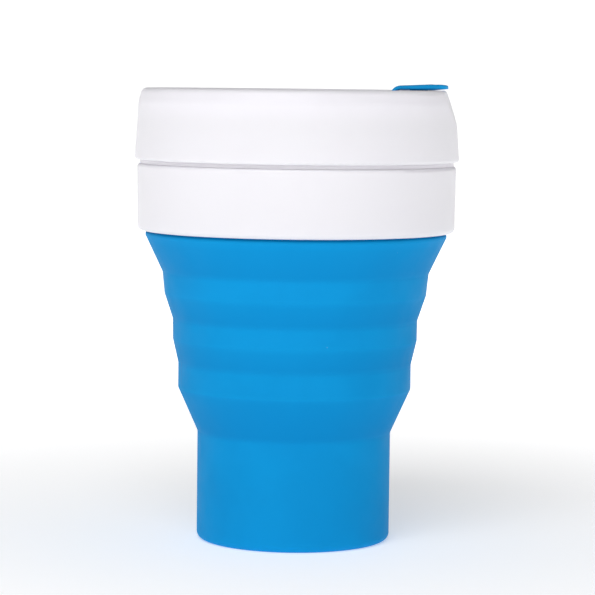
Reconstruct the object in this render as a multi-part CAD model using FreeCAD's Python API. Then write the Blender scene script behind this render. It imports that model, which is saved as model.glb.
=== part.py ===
"""Collapsible travel cup: a silicone cup that folds at four conical walls, a rigid threaded neck collar,
a grip sleeve, a screw lid with a slanted sip face, and a silicone stopper.

Units are millimetres, +Z is up. The origin is the middle of the base where it stands, and the sip side of
the lid faces +X. The silicone cup is one moulding on the real object; it is split here at its folds, so that
each ring can rise inside the one above it as the cup is pushed down.
"""

import FreeCAD
import Part

import math
import os

# ---------------------------------------------------------------- driving dimensions
# Heights, from the table up
FOOT_RECESS = 0.6
FLOOR_TOP = 3.4
BASE_TOP = 32.0
LOWER_RING_Z = (45.0, 52.3)
MIDDLE_RING_Z = (59.4, 65.3)
UPPER_RING_Z = (72.8, 79.2)
RIM_BOTTOM = 89.0
SLEEVE_Z = (91.45, 111.0)
COLLAR_Z = (99.8, 123.1)
LIP_TOP = 124.0
SEAL_Z = (124.05, 125.45)
LID_BOTTOM = 112.2
LID_CEILING = 125.5
LID_RECESS_FLOOR = 127.3
LID_TOP = 133.1

# Outer radii of the silicone cup
BASE_RADIUS = 28.6
BASE_CORNER = 2.0
LOWER_RING_R = (34.45, 34.35)
MIDDLE_RING_R = (36.1, 36.15)
UPPER_RING_R = (38.65, 39.3)
RIM_RADIUS = 44.4
RIM_BOTTOM_RADIUS = 43.95
RIM_BEAD_Z = (89.9, 90.7)
RIM_GROOVE = (43.6, 91.4)

# Silicone wall thicknesses
BASE_WALL = 2.2
RING_WALL = 1.0
FOLD_WALL = 0.7
RIM_BORE = 41.2

# Neck collar and its thread
NECK_RADIUS = 44.4
NECK_BORE = 42.8
BOND_GAP = 0.05
THREAD_STARTS = 4
THREAD_LEAD = 16.0
THREAD_ANGLE = 76.0
THREAD_DEPTH = 0.95
THREAD_ROOT_HALF = 0.85
THREAD_CREST_HALF = 0.45
NECK_THREAD_Z = 117.2
THREAD_EMBED = 0.3

# Stop flange between the grip sleeve and the lid
FLANGE_RADIUS = 45.4
FLANGE_Z = (111.1, 112.05)

# Grip sleeve
SLEEVE_BORE = (45.0, 44.85)
SLEEVE_RADIUS = (46.75, 47.0)

# Lid seal ring
SEAL_R = (41.05, 44.4)

# Lid
LID_RADIUS = 47.85
LID_WAIST = (47.45, 117.5)
LID_SHOULDER = (46.65, 129.2)
LID_TOP_CORNER = 45.6
LID_BORE_CHAMFER = 1.2
LID_BORE = 45.7
LID_RECESS_RADIUS = 41.6
PLUG_WALL_R = (39.2, 40.7)
PLUG_WALL_BOTTOM = 121.9
SIP_FACE_FOOT = (47.1, 122.4)
SIP_FACE_LEAN = 19.5
SIP_FACE_EDGE = 1.0
DECK_FOOT_X = 25.2
DECK_TOP_X = 29.9
DECK_PLATE = 1.8
DECK_BROW = 1.0
SIP_SLOT_X = 35.6
SIP_SLOT_WIDTH = 6.0
SIP_SLOT_LENGTH = 13.0
SIP_SLOT_EDGE = 0.4
VENT_RADIUS = 1.0
VENT_X = -24.0
BUTTON_HOLE = 3.0

# Stopper
BUTTON_RADIUS = 6.2
BUTTON_TOP = 129.1
STEM_RADIUS = 2.9
BARB_RADIUS = 4.2
BARB_BOTTOM = 123.7
FLEX_X = (6.25, 11.2)
FLEX_THICK = 0.8
STRAP_WIDTH = 12.0
STRAP_THICK = 1.4
STRAP_LIFT = 0.1
STRAP_START_GAP = 0.1
PAD_TOP = 134.6
PAD_WIDTH = 18.0
PAD_END_X = 43.0
TAB_TIP_X = 44.3
TAB_TOP = 135.0
TAB_WIDTH = 12.0
PLUG_CLEARANCE = 0.5
PLUG_DEPTH = 2.6
PLUG_CHAMFER = 1.0

PARTS = "parts"
FULL_TURN = 360.0
Z_AXIS = FreeCAD.Vector(0, 0, 1)
ORIGIN = FreeCAD.Vector(0, 0, 0)


# ---------------------------------------------------------------- helpers
def section_point(radius, height):
    """A point of a cross-section, in the XZ plane."""
    return FreeCAD.Vector(radius, 0, height)


def revolved(points):
    """A solid of revolution from a closed cross-section of (radius, height) points."""
    corners = [section_point(r, z) for r, z in points]
    face = Part.Face(Part.makePolygon(corners + corners[:1]))
    return face.revolve(ORIGIN, Z_AXIS, FULL_TURN)


def rounded(solid, edges):
    """Rounds circular edges about Z, each given as (radius, height, fillet radius)."""
    for radius, height, fillet in edges:
        found = [
            e
            for e in solid.Edges
            if isinstance(e.Curve, Part.Circle)
            and abs(e.Curve.Radius - radius) < 0.02
            and abs(e.Curve.Center.z - height) < 0.02
        ]
        solid = solid.makeFillet(fillet, found)
    return solid


def prism(points, width):
    """A prism with an outline of (x, z) points, centred on Y = 0."""
    corners = [FreeCAD.Vector(x, -width / 2, z) for x, z in points]
    face = Part.Face(Part.makePolygon(corners + corners[:1]))
    return face.extrude(FreeCAD.Vector(0, width, 0))


def slot(x_middle, width, length, bottom, top, grow=0.0):
    """A round-ended slot with its length along Y, made larger all round by grow."""
    half = width / 2 + grow
    reach = length / 2 - width / 2
    middle = Part.makeBox(2 * half, 2 * reach, top - bottom, FreeCAD.Vector(x_middle - half, -reach, bottom))
    end = Part.makeCylinder(half, top - bottom, FreeCAD.Vector(x_middle, -reach, bottom))
    other_end = end.translated(FreeCAD.Vector(0, 2 * reach, 0))
    return middle.fuse([end, other_end]).removeSplitter()


def thread_ridges(root, crest, start_height):
    """One helical ridge for each thread start: outside ridges if crest is larger than root, else inside."""
    inwards = -1 if crest > root else 1
    rise = THREAD_LEAD * THREAD_ANGLE / FULL_TURN
    buried = root + inwards * THREAD_EMBED
    outline = [
        section_point(buried, start_height - THREAD_ROOT_HALF),
        section_point(root, start_height - THREAD_ROOT_HALF),
        section_point(crest, start_height - THREAD_CREST_HALF),
        section_point(crest, start_height + THREAD_CREST_HALF),
        section_point(root, start_height + THREAD_ROOT_HALF),
        section_point(buried, start_height + THREAD_ROOT_HALF),
    ]
    profile = Part.makePolygon(outline + outline[:1])
    path = Part.makeHelix(THREAD_LEAD, rise, root)
    path.translate(FreeCAD.Vector(0, 0, start_height))
    ridge = Part.Wire(path.Edges).makePipeShell([profile], True, True)
    ridges = []
    for start in range(THREAD_STARTS):
        turned = ridge.copy()
        turned.rotate(ORIGIN, Z_AXIS, start * FULL_TURN / THREAD_STARTS)
        ridges.append(turned)
    return ridges


# ---------------------------------------------------------------- silicone cup
def base_cup():
    """The bottom stage that never folds: floor, straight wall and foot ring."""
    bore = BASE_RADIUS - BASE_WALL
    inner_corner = 3.0
    foot_inner = BASE_RADIUS - BASE_CORNER - 3.0
    cup = revolved([
        (0, FOOT_RECESS),
        (foot_inner, FOOT_RECESS),
        (foot_inner + FOOT_RECESS, 0),
        (BASE_RADIUS, 0),
        (BASE_RADIUS, BASE_TOP),
        (bore, BASE_TOP),
        (bore, FLOOR_TOP),
        (0, FLOOR_TOP),
    ])
    return rounded(cup, [(BASE_RADIUS, 0, BASE_CORNER), (bore, FLOOR_TOP, inner_corner)])


def ring(heights, radii):
    """A step of the cup: its wall is thin at the foot, where the fold below it hangs."""
    bottom, top = heights
    inner = min(radii) - RING_WALL
    hinge_height = bottom + 0.45 * (top - bottom)
    return revolved([
        (radii[0] - FOLD_WALL, bottom),
        (radii[0], bottom),
        (radii[1], top),
        (inner, top),
        (inner, hinge_height),
    ])


def fold_wall(bottom, top, bottom_radius, top_radius):
    """A conical wall that turns inside out as the cup folds. It meets its neighbours on flat faces."""
    return revolved([
        (bottom_radius - FOLD_WALL, bottom),
        (bottom_radius, bottom),
        (top_radius, top),
        (top_radius - FOLD_WALL, top),
    ])


def silicone_rim():
    """The top stage: a bead under the sleeve, the lining inside the collar, and the lip over its edge."""
    lining = NECK_BORE - BOND_GAP
    inner_foot = (RIM_RADIUS - 1.6, RIM_BOTTOM + 1.6)
    inner_shoulder = RIM_BOTTOM + 7.0
    lip_radius = NECK_RADIUS - 0.2
    rim = revolved([
        (RIM_BOTTOM_RADIUS - FOLD_WALL, RIM_BOTTOM),
        (RIM_BOTTOM_RADIUS, RIM_BOTTOM),
        (RIM_RADIUS, RIM_BEAD_Z[0]),
        (RIM_RADIUS, RIM_BEAD_Z[1]),
        RIM_GROOVE,
        (RIM_GROOVE[0], COLLAR_Z[0]),
        (lining, COLLAR_Z[0]),
        (lining, COLLAR_Z[1]),
        (lip_radius, COLLAR_Z[1]),
        (lip_radius, LIP_TOP),
        (RIM_BORE, LIP_TOP),
        (RIM_BORE, inner_shoulder),
        inner_foot,
    ])
    return rounded(rim, [(lip_radius, LIP_TOP, 0.6), (RIM_BORE, LIP_TOP, 0.6)])


# ---------------------------------------------------------------- rigid parts
def neck_collar():
    """The rigid ring bonded round the rim, with the thread for the lid."""
    bottom, top = COLLAR_Z
    ring_body = revolved([
        (NECK_BORE, bottom),
        (NECK_RADIUS, bottom),
        (NECK_RADIUS, top),
        (NECK_BORE, top),
    ])
    ring_body = rounded(ring_body, [(NECK_RADIUS, top, 0.5), (NECK_RADIUS, bottom, 0.4)])
    ridges = thread_ridges(NECK_RADIUS, NECK_RADIUS + THREAD_DEPTH, NECK_THREAD_Z)
    return ring_body.fuse(ridges)


def stop_flange():
    """The narrow flange round the collar. The lid comes down to it, and the sleeve comes up to it."""
    bottom, top = FLANGE_Z
    flange = revolved([
        (NECK_RADIUS, bottom),
        (FLANGE_RADIUS, bottom),
        (FLANGE_RADIUS, top),
        (NECK_RADIUS, top),
    ])
    return rounded(flange, [(FLANGE_RADIUS, bottom, 0.15), (FLANGE_RADIUS, top, 0.15)])


def grip_sleeve():
    """The plain band that keeps the fingers off the hot silicone."""
    bottom, top = SLEEVE_Z
    sleeve = revolved([
        (SLEEVE_BORE[0], bottom),
        (SLEEVE_RADIUS[0], bottom),
        (SLEEVE_RADIUS[1], top),
        (SLEEVE_BORE[1], top),
    ])
    return rounded(sleeve, [
        (SLEEVE_RADIUS[0], bottom, 1.4),
        (SLEEVE_RADIUS[1], top, 1.0),
        (SLEEVE_BORE[0], bottom, 0.25),
        (SLEEVE_BORE[1], top, 0.15),
    ])


def lid_seal_ring():
    """The flat silicone ring between the lid's ceiling and the silicone lip."""
    inner, outer = SEAL_R
    bottom, top = SEAL_Z
    ring_body = revolved([(inner, bottom), (outer, bottom), (outer, top), (inner, top)])
    return rounded(ring_body, [(outer, bottom, 0.3), (inner, bottom, 0.3)])


def lid_body():
    """The lid's turned shape: skirt, plug wall, floor of the recess and rolled top edge."""
    body = revolved([
        (0, LID_CEILING),
        (PLUG_WALL_R[0], LID_CEILING),
        (PLUG_WALL_R[0] + 0.3, PLUG_WALL_BOTTOM),
        (PLUG_WALL_R[1] - 0.3, PLUG_WALL_BOTTOM),
        (PLUG_WALL_R[1], LID_CEILING),
        (LID_BORE - LID_BORE_CHAMFER, LID_CEILING),
        (LID_BORE, LID_CEILING - LID_BORE_CHAMFER),
        (LID_BORE, LID_BOTTOM + 0.5),
        (LID_BORE + 0.5, LID_BOTTOM),
        (LID_RADIUS, LID_BOTTOM),
        LID_WAIST,
        LID_SHOULDER,
        (LID_TOP_CORNER, LID_TOP),
        (LID_RECESS_RADIUS, LID_TOP),
        (LID_RECESS_RADIUS - 0.4, LID_RECESS_FLOOR),
        (0, LID_RECESS_FLOOR),
    ])
    return rounded(body, [
        (LID_RADIUS, LID_BOTTOM, 0.8),
        (*LID_SHOULDER, 6.0),
        (LID_TOP_CORNER, LID_TOP, 1.9),
        (LID_RECESS_RADIUS, LID_TOP, 0.8),
        (LID_RECESS_RADIUS - 0.4, LID_RECESS_FLOOR, 0.8),
    ])


def sip_deck():
    """The raised deck on the sip side, level with the lid's top edge, with a ramp for the stopper's strap."""
    bottom = LID_RECESS_FLOOR - 0.4
    reach = LID_RECESS_RADIUS + 1.2
    wedge = prism([
        (DECK_FOOT_X, bottom),
        (DECK_FOOT_X, LID_RECESS_FLOOR),
        (DECK_TOP_X, LID_TOP),
        (reach, LID_TOP),
        (reach, bottom),
    ], 2 * reach)
    brow = [
        e
        for e in wedge.Edges
        if all(abs(v.X - DECK_TOP_X) + abs(v.Z - LID_TOP) < 0.01 for v in e.Vertexes)
    ]
    wedge = wedge.makeFillet(DECK_BROW, brow)
    return wedge.common(Part.makeCylinder(reach, LID_TOP - bottom, FreeCAD.Vector(0, 0, bottom)))


def deck_pocket():
    """The hollow under the deck, which leaves a plate of even thickness."""
    ceiling = LID_TOP - DECK_PLATE
    shift = DECK_PLATE * 1.25
    solid = prism([
        (DECK_FOOT_X + shift, LID_CEILING - 1.0),
        (DECK_FOOT_X + shift, LID_CEILING),
        (DECK_TOP_X + shift - 0.6, ceiling),
        (PLUG_WALL_R[1], ceiling),
        (PLUG_WALL_R[1], LID_CEILING - 1.0),
    ], 2 * PLUG_WALL_R[1])
    disc = Part.makeCylinder(PLUG_WALL_R[0], ceiling - LID_CEILING + 1.0,
                             FreeCAD.Vector(0, 0, LID_CEILING - 1.0))
    return solid.common(disc)


def sip_slot():
    """The drinking slot, flared at its upper edge."""
    through = slot(SIP_SLOT_X, SIP_SLOT_WIDTH, SIP_SLOT_LENGTH, LID_CEILING - 2.0, LID_TOP + 1.0)
    flare_foot = LID_TOP - SIP_SLOT_EDGE
    flare = slot(SIP_SLOT_X, SIP_SLOT_WIDTH, SIP_SLOT_LENGTH, flare_foot, LID_TOP + 1.0, SIP_SLOT_EDGE)
    foot_edges = [e for e in flare.Edges if all(abs(v.Z - flare_foot) < 0.01 for v in e.Vertexes)]
    return through.fuse(flare.makeChamfer(SIP_SLOT_EDGE, foot_edges))


def sip_face_cutter():
    """The half-space outside the slanted sip face."""
    size = 60.0
    block = Part.makeBox(size, 2 * size, 2 * size, FreeCAD.Vector(0, -size, -size))
    block.rotate(ORIGIN, FreeCAD.Vector(0, 1, 0), -SIP_FACE_LEAN)
    block.translate(FreeCAD.Vector(SIP_FACE_FOOT[0], 0, SIP_FACE_FOOT[1]))
    return block


def round_sip_face(lid):
    """Softens the edges of the slanted face."""
    lean = math.radians(SIP_FACE_LEAN)
    normal = FreeCAD.Vector(math.cos(lean), 0, math.sin(lean))
    foot = FreeCAD.Vector(SIP_FACE_FOOT[0], 0, SIP_FACE_FOOT[1])
    faces = [
        f
        for f in lid.Faces
        if isinstance(f.Surface, Part.Plane) and abs((f.CenterOfMass - foot).dot(normal)) < 0.01
    ]
    return lid.makeFillet(SIP_FACE_EDGE, faces[0].Edges)


def lid_shell():
    """The screw lid with its sip slot, vent, stopper hole and inside thread."""
    lid = lid_body().fuse(sip_deck())
    lid = lid.cut(deck_pocket())
    lid = lid.cut(sip_face_cutter()).removeSplitter()
    deep = LID_CEILING - 2.0
    holes = [
        sip_slot(),
        Part.makeCylinder(BUTTON_HOLE, 5.0, FreeCAD.Vector(0, 0, deep)),
        Part.makeCylinder(VENT_RADIUS, 5.0, FreeCAD.Vector(VENT_X, 0, deep)),
    ]
    lid = round_sip_face(lid.cut(holes))
    half_pitch = THREAD_LEAD / THREAD_STARTS / 2
    ridges = thread_ridges(LID_BORE, LID_BORE - THREAD_DEPTH, NECK_THREAD_Z - half_pitch)
    return lid.fuse(ridges)


# ---------------------------------------------------------------- stopper
def stopper_button():
    """The round button at the lid's centre that anchors the stopper: cap, stem and barb."""
    button = revolved([
        (0, BARB_BOTTOM),
        (STEM_RADIUS - 0.9, BARB_BOTTOM),
        (BARB_RADIUS, LID_CEILING - 0.5),
        (BARB_RADIUS, LID_CEILING),
        (STEM_RADIUS, LID_CEILING),
        (STEM_RADIUS, LID_RECESS_FLOOR),
        (BUTTON_RADIUS, LID_RECESS_FLOOR),
        (BUTTON_RADIUS, BUTTON_TOP),
        (0, BUTTON_TOP),
    ])
    return rounded(button, [(BUTTON_RADIUS, BUTTON_TOP, 0.7)])


def stopper_flex():
    """The thin stretch of strap beside the button, where the stopper bends back."""
    bottom = LID_RECESS_FLOOR + STRAP_LIFT
    top = bottom + FLEX_THICK
    strip = prism([(0, bottom), (FLEX_X[1], bottom), (FLEX_X[1], top), (0, top)], STRAP_WIDTH)
    hole = Part.makeCylinder(FLEX_X[0], FLEX_THICK + 2, FreeCAD.Vector(0, 0, bottom - 1))
    return strip.cut(hole)


def stopper_plug():
    """The strap's outer length, its ramp, the pad over the sip slot, the plug and the finger tab."""
    bottom = LID_RECESS_FLOOR + STRAP_LIFT
    pad_bottom = LID_TOP + STRAP_LIFT
    ramp_foot = DECK_FOOT_X - 0.3
    ramp_head = DECK_TOP_X - 0.3
    start = FLEX_X[1] + STRAP_START_GAP
    strap = prism([
        (start, bottom),
        (ramp_foot, bottom),
        (ramp_head, pad_bottom),
        (SIP_SLOT_X, pad_bottom),
        (SIP_SLOT_X, PAD_TOP),
        (ramp_head + 1.0, PAD_TOP),
        (ramp_foot - 0.6, bottom + STRAP_THICK),
        (start, bottom + STRAP_THICK),
    ], STRAP_WIDTH)
    pad_half = (PAD_END_X - ramp_head - 0.4) / 2
    pad = slot(ramp_head + 0.4 + pad_half, 2 * pad_half, PAD_WIDTH, pad_bottom, PAD_TOP)
    tab = prism([
        (SIP_SLOT_X, pad_bottom),
        (PAD_END_X - 1.4, pad_bottom),
        (TAB_TIP_X, pad_bottom + 0.75),
        (TAB_TIP_X - 0.3, TAB_TOP),
        (SIP_SLOT_X + 3.0, PAD_TOP),
        (SIP_SLOT_X, PAD_TOP - 0.3),
    ], TAB_WIDTH)
    plug_bottom = pad_bottom - PLUG_DEPTH
    plug = slot(SIP_SLOT_X, SIP_SLOT_WIDTH, SIP_SLOT_LENGTH, plug_bottom, pad_bottom + 0.3, -PLUG_CLEARANCE)
    foot = [e for e in plug.Edges if all(abs(v.Z - plug_bottom) < 0.01 for v in e.Vertexes)]
    plug = plug.makeChamfer(PLUG_CHAMFER, foot)
    return strap.fuse([pad, tab, plug]).removeSplitter()


# ---------------------------------------------------------------- assembly
def sub_parts():
    """Every sub-part by its node name."""
    return {
        "base_cup": base_cup(),
        "bottom_fold_wall": fold_wall(BASE_TOP, LOWER_RING_Z[0], BASE_RADIUS, LOWER_RING_R[0]),
        "lower_ring": ring(LOWER_RING_Z, LOWER_RING_R),
        "lower_fold_wall": fold_wall(LOWER_RING_Z[1], MIDDLE_RING_Z[0], LOWER_RING_R[1], MIDDLE_RING_R[0]),
        "middle_ring": ring(MIDDLE_RING_Z, MIDDLE_RING_R),
        "upper_fold_wall": fold_wall(MIDDLE_RING_Z[1], UPPER_RING_Z[0], MIDDLE_RING_R[1], UPPER_RING_R[0]),
        "upper_ring": ring(UPPER_RING_Z, UPPER_RING_R),
        "top_fold_wall": fold_wall(UPPER_RING_Z[1], RIM_BOTTOM, UPPER_RING_R[1], RIM_BOTTOM_RADIUS),
        "silicone_rim": silicone_rim(),
        "neck_collar": neck_collar(),
        "stop_flange": stop_flange(),
        "grip_sleeve": grip_sleeve(),
        "lid_seal_ring": lid_seal_ring(),
        "lid_shell": lid_shell(),
        "stopper_button": stopper_button(),
        "stopper_flex": stopper_flex(),
        "stopper_plug": stopper_plug(),
    }


def main():
    os.makedirs(PARTS, exist_ok=True)
    for name, shape in sub_parts().items():
        print(f"{name}: valid {shape.isValid()}, solids {len(shape.Solids)}, {shape.Volume:.0f} mm3")
        shape.exportStep(f"{PARTS}/{name}.step")


main()
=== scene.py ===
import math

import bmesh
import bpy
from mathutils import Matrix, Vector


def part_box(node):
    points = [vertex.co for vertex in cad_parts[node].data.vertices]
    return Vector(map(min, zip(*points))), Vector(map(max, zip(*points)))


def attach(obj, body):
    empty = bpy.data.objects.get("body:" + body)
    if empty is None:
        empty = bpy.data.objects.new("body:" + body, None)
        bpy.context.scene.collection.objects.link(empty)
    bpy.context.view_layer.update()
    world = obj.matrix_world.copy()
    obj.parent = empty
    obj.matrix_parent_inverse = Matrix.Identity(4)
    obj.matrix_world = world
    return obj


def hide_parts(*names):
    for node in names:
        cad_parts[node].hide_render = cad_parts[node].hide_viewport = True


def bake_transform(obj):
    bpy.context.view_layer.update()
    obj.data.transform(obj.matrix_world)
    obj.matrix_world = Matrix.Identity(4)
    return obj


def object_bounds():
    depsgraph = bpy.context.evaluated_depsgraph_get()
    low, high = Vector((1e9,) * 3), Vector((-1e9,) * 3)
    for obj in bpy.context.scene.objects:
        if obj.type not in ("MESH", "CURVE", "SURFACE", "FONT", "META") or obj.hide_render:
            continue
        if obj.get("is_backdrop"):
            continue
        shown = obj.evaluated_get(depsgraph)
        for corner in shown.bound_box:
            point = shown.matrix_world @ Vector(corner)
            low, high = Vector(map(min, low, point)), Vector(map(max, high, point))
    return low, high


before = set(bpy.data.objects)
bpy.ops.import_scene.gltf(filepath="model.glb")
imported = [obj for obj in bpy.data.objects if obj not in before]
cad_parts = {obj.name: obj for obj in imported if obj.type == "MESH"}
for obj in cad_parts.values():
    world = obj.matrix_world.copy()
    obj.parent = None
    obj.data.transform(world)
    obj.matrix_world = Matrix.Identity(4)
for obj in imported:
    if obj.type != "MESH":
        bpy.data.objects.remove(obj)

# The looks of a collapsible travel cup. The lid, sleeve, collar and seal ring are the frame's own meshes
# with finished materials. Rebuilt here are the blue silicone, as four soft skins for the cup, one for each
# fold, and three pieces for the stopper, and the white flange between lid and sleeve.
# Lengths are in metres, in the frame's own axes: +Z up, sip side of the lid +X.

MM = 0.001
TURN_STEPS = 192
ON_AXIS = 1e-7
MOST_OF_RUN = 0.49  # the most that a corner's arc may take of the run on either side of it
CAD_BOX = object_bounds()


# ---------------------------------------------------------------- outlines
def clamped(value):
    """The value, held between 0 and 1."""
    return min(1, max(0, value))


def rounded_path(corners, arc_step=math.radians(7.5)):
    """Points along a path of (x, z, corner radius) corners, with an arc wherever the radius isn't 0."""
    points = []
    for i, (x, z, radius) in enumerate(corners):
        here = Vector((x, z))
        at_end = i in (0, len(corners) - 1)
        if at_end or radius <= 0:
            points.append(here)
            continue
        back = Vector(corners[i - 1][:2]) - here
        ahead = Vector(corners[i + 1][:2]) - here
        inside = back.angle(ahead)
        reach = min(radius / math.tan(inside / 2), MOST_OF_RUN * back.length, MOST_OF_RUN * ahead.length)
        true_radius = reach * math.tan(inside / 2)
        bisector = (back.normalized() + ahead.normalized()).normalized()
        middle = here + bisector * true_radius / math.sin(inside / 2)
        first = here + back.normalized() * reach - middle
        sweep = math.pi - inside
        steps = max(2, math.ceil(sweep / arc_step))
        side = 1 if first.x * (here - middle).y - first.y * (here - middle).x > 0 else -1
        for k in range(steps + 1):
            a = side * sweep * k / steps
            turned = Vector((
                first.x * math.cos(a) - first.y * math.sin(a),
                first.x * math.sin(a) + first.y * math.cos(a),
            ))
            points.append(middle + turned)
    return points


def even(points, longest):
    """The same path with its long straight runs divided into steps."""
    result = []
    for a, b in zip(points, points[1:]):
        steps = max(1, math.ceil((b - a).length / longest))
        result += [a.lerp(b, k / steps) for k in range(steps)]
    return result + [points[-1]]


# ---------------------------------------------------------------- meshes
def new_object(name, bm, sharp_angle=40):
    """An object from a bmesh, shaded smooth but for its real edges."""
    bmesh.ops.recalc_face_normals(bm, faces=bm.faces)
    mesh = bpy.data.meshes.new(name)
    bm.to_mesh(mesh)
    bm.free()
    mesh.shade_smooth()
    mesh.set_sharp_from_angle(angle=math.radians(sharp_angle))
    obj = bpy.data.objects.new(name, mesh)
    bpy.context.scene.collection.objects.link(obj)
    return obj


def rounding(outline, full=1.6 * MM, passes=3):
    """How strongly each outline point lies on a rounded outer edge, from 0 to 1. Hollows, flats and sharp
    corners count as 0."""
    sharp = math.radians(30)
    count = len(outline)
    area = sum(a.x * b.y - a.y * b.x for a, b in zip(outline, outline[1:] + outline[:1]))
    values = []
    for i, here in enumerate(outline):
        back = here - outline[i - 1]
        ahead = outline[(i + 1) % count] - here
        turn = math.atan2(back.x * ahead.y - back.y * ahead.x, back.dot(ahead)) * math.copysign(1, area)
        length = (back.length + ahead.length) / 2
        values.append(min(1, max(0, turn) / length * full) if abs(turn) < sharp else 0)
    for _ in range(passes):
        values = [(values[i - 1] + 2 * v + values[(i + 1) % count]) / 4 for i, v in enumerate(values)]
    return values


def lathe(name, outline, fold_shade=lambda height: 0):
    """A turned solid from a closed outline of (radius, height) points. Each point also has a "wear" value,
    for its rounded edges, and a value of painted shade, which darkens the fold walls by height."""
    bm = bmesh.new()
    wear = bm.verts.layers.float.new("wear")
    fold_shade_layer = bm.verts.layers.float.new("fold_shade")
    rings = []
    for point, worn in zip(outline, rounding(outline)):
        steps = TURN_STEPS if point.x > ON_AXIS else 1
        angles = [2 * math.pi * k / TURN_STEPS for k in range(steps)]
        places = [(point.x * math.cos(a), point.x * math.sin(a), point.y) for a in angles]
        rings.append([bm.verts.new(place) for place in places])
        for vert in rings[-1]:
            vert[wear] = worn
            vert[fold_shade_layer] = fold_shade(point.y)
    for low, high in zip(rings, rings[1:] + rings[:1]):
        if len(low) == len(high) == 1:
            continue
        for k in range(TURN_STEPS):
            n = (k + 1) % TURN_STEPS
            corners = [low[k % len(low)], low[n % len(low)], high[n % len(high)], high[k % len(high)]]
            bm.faces.new(dict.fromkeys(corners))
    return new_object(name, bm)


def loft(name, sections, sharp_angle=40):
    """A solid through closed sections that all have the same number of points."""
    bm = bmesh.new()
    rings = [[bm.verts.new(p) for p in section] for section in sections]
    count = len(rings[0])
    for low, high in zip(rings, rings[1:]):
        for k in range(count):
            n = (k + 1) % count
            bm.faces.new([low[k], low[n], high[n], high[k]])
    bm.faces.new(rings[0])
    bm.faces.new(rings[-1])
    return new_object(name, bm, sharp_angle)


# ---------------------------------------------------------------- materials
class Shader:
    """A material's node tree, with short calls for the nodes that the finishes share."""

    def __init__(self, name):
        self.material = bpy.data.materials.new(name)
        self.material.use_nodes = True
        self.nodes = self.material.node_tree.nodes
        self.links = self.material.node_tree.links
        self.surface = self.nodes["Principled BSDF"]
        self.place = self.nodes.new("ShaderNodeTexCoord").outputs["Object"]

    def link(self, source, target):
        self.links.new(source, target)

    def noise(self, size, detail=2.0, roughness=0.5):
        """Noise whose features are about size metres across."""
        node = self.nodes.new("ShaderNodeTexNoise")
        node.inputs["Scale"].default_value = 1 / size
        node.inputs["Detail"].default_value = detail
        node.inputs["Roughness"].default_value = roughness
        self.link(self.place, node.inputs["Vector"])
        return node.outputs["Fac"]

    def between(self, source, low, high, to_low, to_high):
        """Maps a value smoothly from one range to another."""
        node = self.nodes.new("ShaderNodeMapRange")
        node.interpolation_type = "SMOOTHSTEP"
        node.inputs["From Min"].default_value = low
        node.inputs["From Max"].default_value = high
        node.inputs["To Min"].default_value = to_low
        node.inputs["To Max"].default_value = to_high
        self.link(source, node.inputs["Value"])
        return node.outputs["Result"]

    def mix(self, factor, first, second):
        """Mixes two colours, each a tuple or a socket."""
        node = self.nodes.new("ShaderNodeMix")
        node.data_type = "RGBA"
        self.link(factor, node.inputs["Factor"])
        for socket, value in ((node.inputs[6], first), (node.inputs[7], second)):
            if isinstance(value, tuple):
                socket.default_value = (*value, 1)
            else:
                self.link(value, socket)
        return node.outputs[2]

    def specks(self, spacing, size):
        """1 inside scattered round specks, 0 elsewhere."""
        node = self.nodes.new("ShaderNodeTexVoronoi")
        node.inputs["Scale"].default_value = 1 / spacing
        self.link(self.place, node.inputs["Vector"])
        return self.between(node.outputs["Distance"], 0.4 * size / spacing, size / spacing, 1, 0)

    def painted(self, attribute, most):
        """A value stored on the mesh's points, from 0 up to most. A mesh without it gives 0."""
        node = self.nodes.new("ShaderNodeAttribute")
        node.attribute_name = attribute
        return self.between(node.outputs["Fac"], 0, 1, 0, most)

    def bump(self, layers):
        """Stacks bumps, each a (height source, depth in metres)."""
        normal = None
        for source, depth in layers:
            node = self.nodes.new("ShaderNodeBump")
            node.inputs["Strength"].default_value = 1
            node.inputs["Distance"].default_value = depth
            self.link(source, node.inputs["Height"])
            if normal is not None:
                self.link(normal, node.inputs["Normal"])
            normal = node.outputs["Normal"]
        self.link(normal, self.surface.inputs["Normal"])


def silicone(name, colour, deep, pale, roughness, sheen):
    """Soft matte silicone: cloudy pigment, painted shade that darkens the fold walls, a fine skin, a rub
    of wear on raised edges and stray dust."""
    s = Shader(name)
    dust_colour = (0.62, 0.78, 0.9)
    clouds = s.between(s.noise(size=22 * MM, detail=3), 0.35, 0.65, to_low=0, to_high=0.35)
    dust = s.between(s.specks(spacing=9 * MM, size=0.22 * MM), 0, 1, to_low=0, to_high=0.18)
    # painted shade: the fold walls are mixed towards the deep colour, most at each fold's foot
    body = s.mix(s.painted("fold_shade", most=0.8), s.mix(clouds, colour, deep), deep)
    worn = s.mix(s.painted("wear", most=0.4), body, pale)
    dusted = s.mix(dust, worn, dust_colour)
    s.link(dusted, s.surface.inputs["Base Color"])
    gloss = s.between(s.noise(size=7 * MM, detail=4), 0.3, 0.7, roughness - 0.05, roughness + 0.06)
    s.link(gloss, s.surface.inputs["Roughness"])
    s.surface.inputs["IOR"].default_value = 1.41
    s.surface.inputs["Specular IOR Level"].default_value = 0.05
    s.surface.inputs["Sheen Weight"].default_value = sheen
    s.surface.inputs["Sheen Roughness"].default_value = 0.45
    s.surface.inputs["Sheen Tint"].default_value = (0.8, 0.93, 1, 1)
    grain = s.noise(size=0.35 * MM, detail=2)
    waves = s.noise(size=4 * MM, detail=2)
    s.bump([(grain, 0.012 * MM), (waves, 0.05 * MM)])
    return s.material


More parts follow.
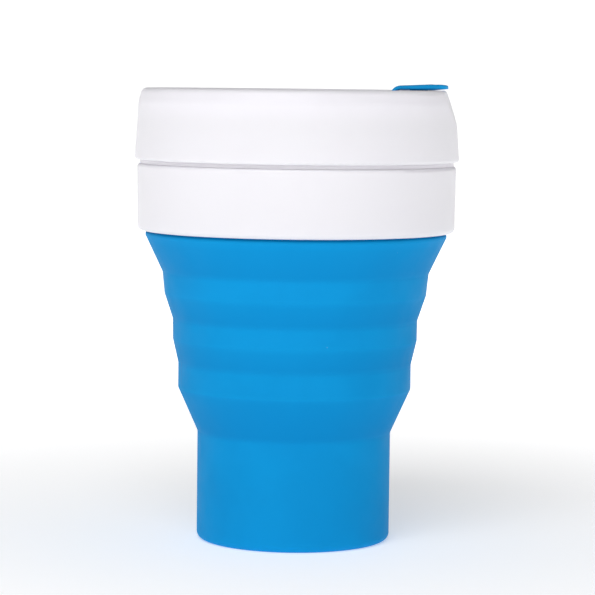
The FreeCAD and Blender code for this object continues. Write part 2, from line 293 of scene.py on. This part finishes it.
def moulded_plastic(name, colour, shade, roughness, milkiness):
    """Satin injection-moulded plastic that lets a little light through: a fine spark-eroded grain, faint
    flow clouds and a few grey specks."""
    s = Shader(name)
    speck_colour = (0.55, 0.56, 0.58)
    flow = s.between(s.noise(size=30 * MM, detail=2), 0.35, 0.65, to_low=0, to_high=1)
    specks = s.between(s.specks(spacing=14 * MM, size=0.16 * MM), 0, 1, to_low=0, to_high=0.15)
    body = s.mix(flow, colour, shade)
    handled = s.mix(specks, body, speck_colour)
    s.link(handled, s.surface.inputs["Base Color"])
    gloss = s.between(s.noise(size=5 * MM, detail=4), 0.3, 0.7, roughness - 0.05, roughness + 0.05)
    s.link(gloss, s.surface.inputs["Roughness"])
    s.surface.inputs["IOR"].default_value = 1.49
    s.surface.inputs["Subsurface Weight"].default_value = milkiness
    s.surface.inputs["Subsurface Radius"].default_value = (1, 0.97, 1)
    s.surface.inputs["Subsurface Scale"].default_value = 3.5 * MM
    grain = s.noise(size=0.28 * MM, detail=3, roughness=0.6)
    waves = s.noise(size=9 * MM, detail=2)
    s.bump([(grain, 0.008 * MM), (waves, 0.04 * MM)])
    return s.material


CUP_BLUE = silicone(
    "cup_silicone",
    colour=(0.004, 0.306, 0.685),
    # deep: the darker tone of the pigment's clouds, and also the painted shade of the fold walls
    deep=(0.003, 0.252, 0.595),
    pale=(0.005, 0.328, 0.720),
    roughness=0.55,
    sheen=0.005,
)
STOPPER_BLUE = silicone(
    "stopper_silicone",
    colour=(0.010, 0.340, 0.740),
    deep=(0.008, 0.325, 0.720),
    pale=(0.02, 0.38, 0.79),
    roughness=0.45,
    sheen=0.01,
)
SEAL_SILICONE = silicone(
    "seal_silicone",
    colour=(0.70, 0.73, 0.76),
    deep=(0.66, 0.70, 0.74),
    pale=(0.8, 0.82, 0.85),
    roughness=0.4,
    sheen=0.05,
)
WHITE_PLASTIC = moulded_plastic(
    "white_plastic",
    colour=(0.850, 0.834, 0.880),
    shade=(0.838, 0.822, 0.868),
    roughness=0.42,
    milkiness=0.35,
)
# painted light: a brighter, lavender-tinted copy of the white plastic, which lifts the collar strip lying
# in shade under the lid
COLLAR_PAINTED_LIGHT = moulded_plastic(
    "collar_painted_light",
    colour=(0.94, 0.892, 0.98),
    shade=(0.93, 0.882, 0.97),
    roughness=0.42,
    milkiness=0.6,
)


# ---------------------------------------------------------------- silicone cup
# The cup's rings, fold walls and bodies, each from the base up. A ring stands on the fold wall of its own
# place in the list, and a fold joins the body of its own place to the next one.
RINGS = ("lower_ring", "middle_ring", "upper_ring")
FOLDS = ("bottom_fold_wall", "lower_fold_wall", "upper_fold_wall", "top_fold_wall")
FOLD_WALL = 0.75 * MM  # where the base's wall thins into the first fold
RING_WALL = 1.0 * MM
BASE_WALL = 2.2 * MM
INNER_CREASE = 2.1 * MM  # at a fold's foot, where the wall turns outwards
OUTER_CREASE = 1.7 * MM  # at a fold's head, where the wall turns upright again
SKIN_STEP = 0.55 * MM


def ring_middle(ring):
    """The height at which two skins meet on a ring."""
    low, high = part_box(ring)
    return (low.z + high.z) / 2


def ring_radii(ring, fold):
    """A ring's outer radius at its foot, where the fold ends, and at its top."""
    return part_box(fold)[1].x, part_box(ring)[1].x


def fold_corners(index):
    """Outer and inner corners from the ring below a fold to the ring above it, going up."""
    low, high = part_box(FOLDS[index])
    outer = []
    inner = []
    if index > 0:
        foot_radius, top_radius = ring_radii(RINGS[index - 1], FOLDS[index - 1])
        height = ring_middle(RINGS[index - 1])
        radius = (foot_radius + top_radius) / 2
        outer += [(radius, height, 0), (top_radius, low.z, INNER_CREASE)]
        inner += [(radius - RING_WALL, height, 0), (top_radius - RING_WALL, low.z, INNER_CREASE)]
    if index < len(RINGS):
        foot_radius, top_radius = ring_radii(RINGS[index], FOLDS[index])
        height = ring_middle(RINGS[index])
        radius = (foot_radius + top_radius) / 2
        outer += [(foot_radius, high.z, OUTER_CREASE), (radius, height, 0)]
        inner += [(foot_radius - RING_WALL, high.z, OUTER_CREASE), (radius - RING_WALL, height, 0)]
    return outer, inner


def base_corners():
    """Outer and inner corners of the base, from the middle of its underside and floor outwards and up."""
    low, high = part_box("base_cup")
    radius = high.x
    foot_recess = 0.6 * MM
    foot_ring = radius - 5.0 * MM
    floor_top = low.z + 3.4 * MM
    outer = [
        (0, low.z + foot_recess, 0),
        (foot_ring, low.z + foot_recess, 0.3 * MM),
        (foot_ring + foot_recess, low.z, 0.4 * MM),
        (radius, low.z, 2.0 * MM),
        (radius, high.z, INNER_CREASE),
    ]
    inner = [
        (0, floor_top, 0),
        (radius - BASE_WALL, floor_top, 3.2 * MM),
        (radius - BASE_WALL, high.z - 2 * MM, 1.5 * MM),
        (radius - FOLD_WALL, high.z + 0.6 * MM, 1.5 * MM),
    ]
    return outer, inner


def rim_corners():
    """Outer and inner corners of the rim, from its foot under the sleeve to the lip over the collar."""
    low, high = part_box("silicone_rim")
    collar_low, collar_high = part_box("neck_collar")
    band = 44.4 * MM
    groove = 43.6 * MM
    lining = 42.75 * MM
    lip = 44.2 * MM
    bore = 41.2 * MM
    outer = [
        (band - 0.45 * MM, low.z, 2.0 * MM),
        (band, low.z + 0.9 * MM, 0.8 * MM),
        (band, low.z + 1.7 * MM, 0.8 * MM),
        (groove, low.z + 2.4 * MM, 0.5 * MM),
        (groove, collar_low.z, 0.2 * MM),
        (lining, collar_low.z, 0.1 * MM),
        (lining, collar_high.z, 0.1 * MM),
        (lip, collar_high.z, 0.2 * MM),
        (lip, high.z, 0.6 * MM),
    ]
    inner = [
        (band - 1.6 * MM, low.z + 1.6 * MM, 2 * MM),
        (bore, low.z + 7 * MM, 4 * MM),
        (bore, high.z, 0.6 * MM),
    ]
    return outer, inner


def painted_fold_shade(bottom, top):
    """Painted shade for the fold wall between two heights: darkest at its foot, less towards its top."""
    fade = 1.2 * MM
    lost_at_top = 0.55

    def fold_shade(height):
        inside = min(height - bottom, top - height) / fade
        edge = clamped(0.5 + inside / 2)
        share = clamped((height - bottom) / (top - bottom))
        return edge * (1 - lost_at_top * share)

    return fold_shade


def cup_skins():
    """One closed skin for each fold, from mid-ring to mid-ring, reaching between the bodies it joins. The
    first takes in the base and the last the rim."""
    for index, fold in enumerate(FOLDS):
        outer, inner = fold_corners(index)
        nodes = [fold]
        if index == 0:
            base_outer, base_inner = base_corners()
            outer = base_outer + outer
            inner = base_inner + inner
            nodes += ["base_cup"]
        if index < len(RINGS):
            nodes += [RINGS[index]]
        else:
            rim_outer, rim_inner = rim_corners()
            outer += rim_outer
            inner += rim_inner
            nodes += ["silicone_rim"]
        outline = even(rounded_path(outer), SKIN_STEP)
        outline += reversed(even(rounded_path(inner), SKIN_STEP))
        low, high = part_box(fold)
        # the skin carries painted shade on its fold wall
        skin = lathe("cup_skin_" + fold.replace("_wall", ""), outline, fold_shade=painted_fold_shade(low.z, high.z))
        skin.data.materials.append(CUP_BLUE)
        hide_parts(*nodes)
        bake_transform(skin)


# ---------------------------------------------------------------- stopper
STRAP_HALF_WIDTH = 6 * MM
PAD_HALF_WIDTH = 9 * MM
PAD_HALF_LENGTH = 6.9 * MM
PAD_MIDDLE = 36.3 * MM
PAD_LIFT = 0.1 * MM  # the pad's underside above the deck
RAMP_FOOT = 24.9 * MM
RAMP_HEAD = 29.6 * MM
TAB_ROUND = 3.2 * MM  # how far from its tip the tab's outline starts to round off
TAB_TAPER = 5 * MM  # how far from its tip the tab starts to thin
SECTION_POINTS = 32
STRAP_SIDE_POWER = 2 / 5  # lower than 1 makes a section boxier than an ellipse
STRAP_FACE_POWER = 2 / 3
PAD_POWER = 2.6  # higher than 2 makes an outline fuller than an ellipse
TAB_POWER = 2.4


def strap_section(point, direction, half_width, thickness):
    """A soft-cornered section across the strap, its underside's middle at point."""
    up = Vector((-direction.z, 0, direction.x))
    middle = point + up * thickness / 2
    section = []
    for k in range(SECTION_POINTS):
        a = 2 * math.pi * (k + 0.5) / SECTION_POINTS
        across = math.copysign(abs(math.cos(a)) ** STRAP_SIDE_POWER, math.cos(a))
        raised = math.copysign(abs(math.sin(a)) ** STRAP_FACE_POWER, math.sin(a))
        section.append(middle + Vector((0, 1, 0)) * across * half_width + up * raised * thickness / 2)
    return section


def strap_half_width(x, tip):
    """Half the strap's width: even along its length, wide at the pad, rounded off at the tab's tip."""
    least = 0.02 * MM
    width = STRAP_HALF_WIDTH
    from_pad = abs(x - PAD_MIDDLE) / PAD_HALF_LENGTH
    if from_pad < 1:
        width = max(width, PAD_HALF_WIDTH * math.sqrt(1 - from_pad ** PAD_POWER))
    past = max(0, x - (tip - TAB_ROUND)) / TAB_ROUND
    return width * math.sqrt(max(0, 1 - past ** TAB_POWER)) + least


def strap_path(start, bottom, deck, tip):
    """The line under the strap: along the lid's recess, up the ramp, over the deck and out to the tip."""
    spacing = 0.35 * MM
    tip_zone = 1.2 * MM
    tip_steps = 10
    path = even(rounded_path([
        (start, bottom, 0),
        (RAMP_FOOT, bottom, 2.2 * MM),
        (RAMP_HEAD, deck + PAD_LIFT, 1.6 * MM),
        (tip - 4.2 * MM, deck + PAD_LIFT, 5 * MM),
        (tip, deck + 0.5 * MM, 0),
    ]), spacing)
    last = path[-1]
    path = [p for p in path if p.x < tip - tip_zone]
    eased = [math.sin(math.pi / 2 * k / tip_steps) for k in range(1, tip_steps + 1)]
    return path + [path[-1].lerp(last, share) for share in eased]


def strap_thickness(x, flex_end, tip):
    """Thin where the strap bends, full after it, thickest on the deck and thinner at the tip."""
    bend = 0.8  # these four are in millimetres
    growth = 0.5
    swelling = 0.45
    taper = 0.4
    grown = clamped((x - flex_end) / (2.5 * MM))
    swelled = clamped((x - RAMP_HEAD) / (tip - TAB_TAPER - RAMP_HEAD))
    tapered = clamped((x - tip + TAB_TAPER) / TAB_TAPER)
    return (bend + growth * grown + swelling * swelled - taper * tapered) * MM


def stopper_strap():
    """The strap, pad and finger tab in one soft piece, from inside the button to the tab's tip."""
    flex_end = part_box("stopper_flex")[1].x
    low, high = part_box("stopper_plug")
    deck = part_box("lid_shell")[1].z
    tip = high.x
    into_button = 6.5 * MM
    narrowest = 0.6  # the share of its thickness that the strap keeps where it has no width
    path = strap_path(flex_end - into_button, low.z, deck, tip)
    sections = []
    for i, p in enumerate(path):
        ahead = path[min(i + 1, len(path) - 1)] - path[max(i - 1, 0)]
        direction = Vector((ahead.x, 0, ahead.y)).normalized()
        half = strap_half_width(p.x, tip)
        thinned = min(1, narrowest + (1 - narrowest) * half / STRAP_HALF_WIDTH)
        thickness = strap_thickness(p.x, flex_end, tip) * thinned
        sections.append(strap_section(Vector((p.x, 0, p.y)), direction, half, thickness))
    strap = loft("stopper_strap", sections, sharp_angle=60)
    strap.data.materials.append(STOPPER_BLUE)
    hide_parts("stopper_flex", "stopper_plug")
    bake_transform(strap)


def slot_ring(x_middle, half, reach, height):
    """A round-ended slot outline, its length along Y: half is half its width, and each rounded end is
    centred at reach from the middle."""
    count = SECTION_POINTS * 2
    points = []
    for k in range(count):
        a = 2 * math.pi * (k + 0.5) / count
        shift = math.copysign(reach, math.sin(a))
        points.append(Vector((x_middle + half * math.cos(a), half * math.sin(a) + shift, height)))
    return points


def stopper_nub():
    """The plug under the pad: a straight round-ended block with a rounded lower edge."""
    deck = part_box("lid_shell")[1].z
    x_middle = 35.6 * MM
    half = 2.5 * MM
    reach = 3.5 * MM
    into_pad = 0.5 * MM
    straight = 1.2 * MM
    depth = 2.6 * MM
    edge = 0.9 * MM
    edge_steps = 6
    sections = [slot_ring(x_middle, half, reach, height) for height in (deck + into_pad, deck - straight)]
    for k in range(edge_steps + 1):
        a = math.pi / 2 * k / edge_steps
        inset = edge * (1 - math.cos(a))
        height = deck - depth + edge - edge * math.sin(a) + PAD_LIFT
        sections.append(slot_ring(x_middle, half - inset, reach, height))
    for share in (0.5, 0.15):
        sections.append(slot_ring(x_middle, (half - edge) * share, reach, deck - depth + PAD_LIFT))
    nub = loft("stopper_nub", sections)
    nub.data.materials.append(STOPPER_BLUE)
    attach(nub, "stopper")


def stopper_anchor():
    """The round button: dished top, rolled edge, stem through the lid and barb below it."""
    low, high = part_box("stopper_button")
    head = high.x
    stem = 2.9 * MM
    barb = 4.2 * MM
    barb_point = 2.0 * MM
    barb_top = low.z + 1.8 * MM
    head_bottom = high.z - 1.8 * MM
    dish = high.z - 0.35 * MM
    outline = rounded_path([
        (0, low.z, 0),
        (barb_point, low.z, 0.5 * MM),
        (barb, barb_top - 0.5 * MM, 0.4 * MM),
        (barb, barb_top, 0.2 * MM),
        (stem, barb_top, 0.2 * MM),
        (stem, head_bottom, 0.2 * MM),
        (head, head_bottom, 0.2 * MM),
        (head, high.z, 0.8 * MM),
        (head - 1.6 * MM, high.z, 0.8 * MM),
        (head - 2.6 * MM, dish, 1.2 * MM),
        (0, dish, 0),
    ])
    button = lathe("stopper_anchor", even(outline, 0.6 * MM))
    button.data.materials.append(STOPPER_BLUE)
    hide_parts("stopper_button")
    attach(button, "lid")


# ---------------------------------------------------------------- rigid parts and seal
def collar_flange():
    """The flange that fills the gap between lid and sleeve, so that a pale strip shows there, in collar
    plastic with painted light.
    """
    outer = 46.2 * MM
    inner = 44.2 * MM
    clearance = 0.04 * MM
    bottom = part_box("grip_sleeve")[1].z + clearance
    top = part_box("lid_shell")[0].z - clearance
    edge = 0.12 * MM
    outline = rounded_path([
        (inner, bottom, 0),
        (outer, bottom, edge),
        (outer, top, edge),
        (inner, top, 0),
    ])
    flange = lathe("collar_flange", outline)
    flange.data.materials.append(COLLAR_PAINTED_LIGHT)
    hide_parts("stop_flange")
    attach(flange, "rim")


def finish_frame_parts():
    """Gives the frame's own meshes their finished materials."""
    finishes = {
        "lid_shell": WHITE_PLASTIC,
        "grip_sleeve": WHITE_PLASTIC,
        # the collar takes the brightened copy of the white plastic, painted light
        "neck_collar": COLLAR_PAINTED_LIGHT,
        "lid_seal_ring": SEAL_SILICONE,
    }
    for node, finish in finishes.items():
        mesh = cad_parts[node].data
        mesh.materials.clear()
        mesh.materials.append(finish)


# ---------------------------------------------------------------- room
def area_light(name, place, aim, size, power):
    """A soft square light at place, facing aim."""
    data = bpy.data.lights.new(name, "AREA")
    data.size = size
    data.energy = power
    light = bpy.data.objects.new(name, data)
    light.location = place
    light.rotation_euler = (Vector(aim) - Vector(place)).to_track_quat("-Z", "Y").to_euler()
    bpy.context.scene.collection.objects.link(light)


def studio_air(horizon, overhead):
    """A plain surround that is white at the horizon and dimmer overhead."""
    fade_start = 0.03
    fade_end = 0.35
    world = bpy.data.worlds.new("studio_air")
    world.use_nodes = True
    nodes = world.node_tree.nodes
    links = world.node_tree.links
    direction = nodes.new("ShaderNodeTexCoord")
    split = nodes.new("ShaderNodeSeparateXYZ")
    fade = nodes.new("ShaderNodeMapRange")
    fade.interpolation_type = "SMOOTHSTEP"
    fade.inputs["From Min"].default_value = fade_start
    fade.inputs["From Max"].default_value = fade_end
    fade.inputs["To Min"].default_value = horizon
    fade.inputs["To Max"].default_value = overhead
    links.new(direction.outputs["Generated"], split.inputs["Vector"])
    links.new(split.outputs["Z"], fade.inputs["Value"])
    links.new(fade.outputs["Result"], nodes["Background"].inputs["Strength"])
    nodes["Background"].inputs["Color"].default_value = (1, 1, 1, 1)
    bpy.context.scene.world = world


def studio_floor():
    """A pale floor that glows: faintly beside the cup, turning into a light table away from it."""
    glow_near = 0.4
    glow_far = 1.0
    near = 0.04
    far = 0.55
    bm = bmesh.new()
    bmesh.ops.create_circle(bm, cap_ends=True, segments=96, radius=8)
    floor = new_object("studio_floor", bm)
    floor.location.z = CAD_BOX[0].z
    s = Shader("floor_paint")
    paint = s.mix(s.noise(size=0.4, detail=2), (0.88, 0.88, 0.885), (0.9, 0.9, 0.905))
    s.link(paint, s.surface.inputs["Base Color"])
    s.surface.inputs["Roughness"].default_value = 0.7
    s.surface.inputs["Specular IOR Level"].default_value = 0.1
    distance = s.nodes.new("ShaderNodeVectorMath")
    distance.operation = "LENGTH"
    s.link(s.place, distance.inputs[0])
    s.surface.inputs["Emission Color"].default_value = (1, 1, 1, 1)
    glow = s.between(distance.outputs["Value"], near, far, glow_near, glow_far)
    s.link(glow, s.surface.inputs["Emission Strength"])
    floor.data.materials.append(s.material)
    floor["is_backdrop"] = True


def studio():
    """The floor, the surround and one soft light."""
    studio_floor()
    studio_air(horizon=1.1, overhead=0.24)
    cup_middle = (0, 0, 0.07)
    area_light("key", place=(-0.2, -1.1, 1.2), aim=cup_middle, size=1.0, power=11.2)


def camera():
    """A long lens a little above the lid, turned so that the sip face just shows. Pitch and roll are in
    radians."""
    distance = 0.780
    height = CAD_BOX[1].z + 1.1 * MM
    aside = 0.66 * MM
    turn = math.radians(5)
    pitch = 0.0825
    roll = 0.0115
    data = bpy.data.cameras.new("camera")
    data.lens = 160
    data.sensor_width = 36
    data.clip_start = 0.01
    eye = bpy.data.objects.new("camera", data)
    place = Matrix.Rotation(turn, 4, "Z") @ Matrix.Translation((aside, -distance, height))
    aim = Matrix.Rotation(math.pi / 2 - pitch, 4, "X")
    eye.matrix_world = place @ aim @ Matrix.Rotation(roll, 4, "Z")
    bpy.context.scene.collection.objects.link(eye)
    bpy.context.scene.camera = eye


cup_skins()
stopper_strap()
stopper_nub()
stopper_anchor()
collar_flange()
finish_frame_parts()
studio()
camera()
bpy.context.scene.view_settings.view_transform = "Standard"

boxes = {"cad": CAD_BOX, "visual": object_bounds()}
{name: [list(corner) for corner in box] for name, box in boxes.items()}
